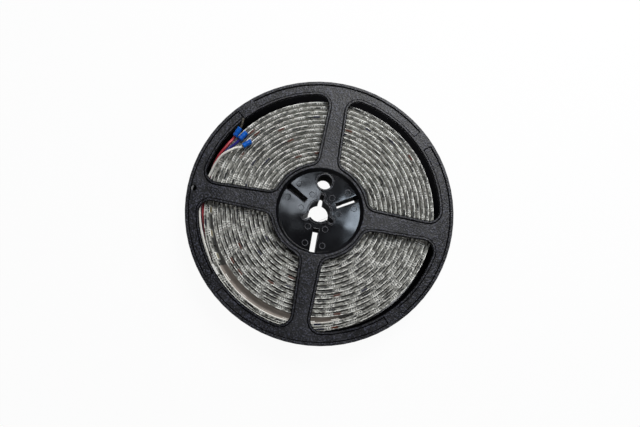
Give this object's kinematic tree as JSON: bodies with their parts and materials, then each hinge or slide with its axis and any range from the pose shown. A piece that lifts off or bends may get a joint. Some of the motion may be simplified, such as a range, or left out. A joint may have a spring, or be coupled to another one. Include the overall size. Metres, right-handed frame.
{
  "type": "led strip light reel",
  "caption": "Flat open-spoked plastic reel wound with flexible LED light strip, its coloured leads brought out over the windings and ending in insulated crimp terminals.",
  "frame": {"origin": "centre of the reel's bottom, on the flat outer face of the rear flange's rim ring", "axes": "+Z along the reel's axis, from the rear flange to the front flange; +Y through the round hole of the hub; the leads lie at -X"},
  "size_m": [0.178, 0.178, 0.0183],
  "materials": {
    "flange_plastic": "fine moulded texture, glossy in the hub",
    "strip_gel": "soft clear cover over a white circuit tape",
    "liner_paper": "waxed backing paper",
    "sleeve_plastic": "clear shrink sleeve",
    "red_insulation": "soft insulation",
    "blue_insulation": "soft insulation",
    "white_insulation": "soft insulation",
    "crimp_blue": "smooth insulating collar",
    "pin_metal": "dull tinned metal"
  },
  "bodies": {
    "root": {"rear_half": "flange_plastic", "front_half": "flange_plastic", "led_strip": "strip_gel", "release_liner": "liner_paper", "solder_sleeve": "sleeve_plastic", "red_wire": "red_insulation", "blue_wire": "blue_insulation", "white_wire": "white_insulation", "red_crimp": "crimp_blue", "blue_crimp": "crimp_blue", "white_crimp": "crimp_blue", "red_pin": "pin_metal"}
  },
  "joints": []
}
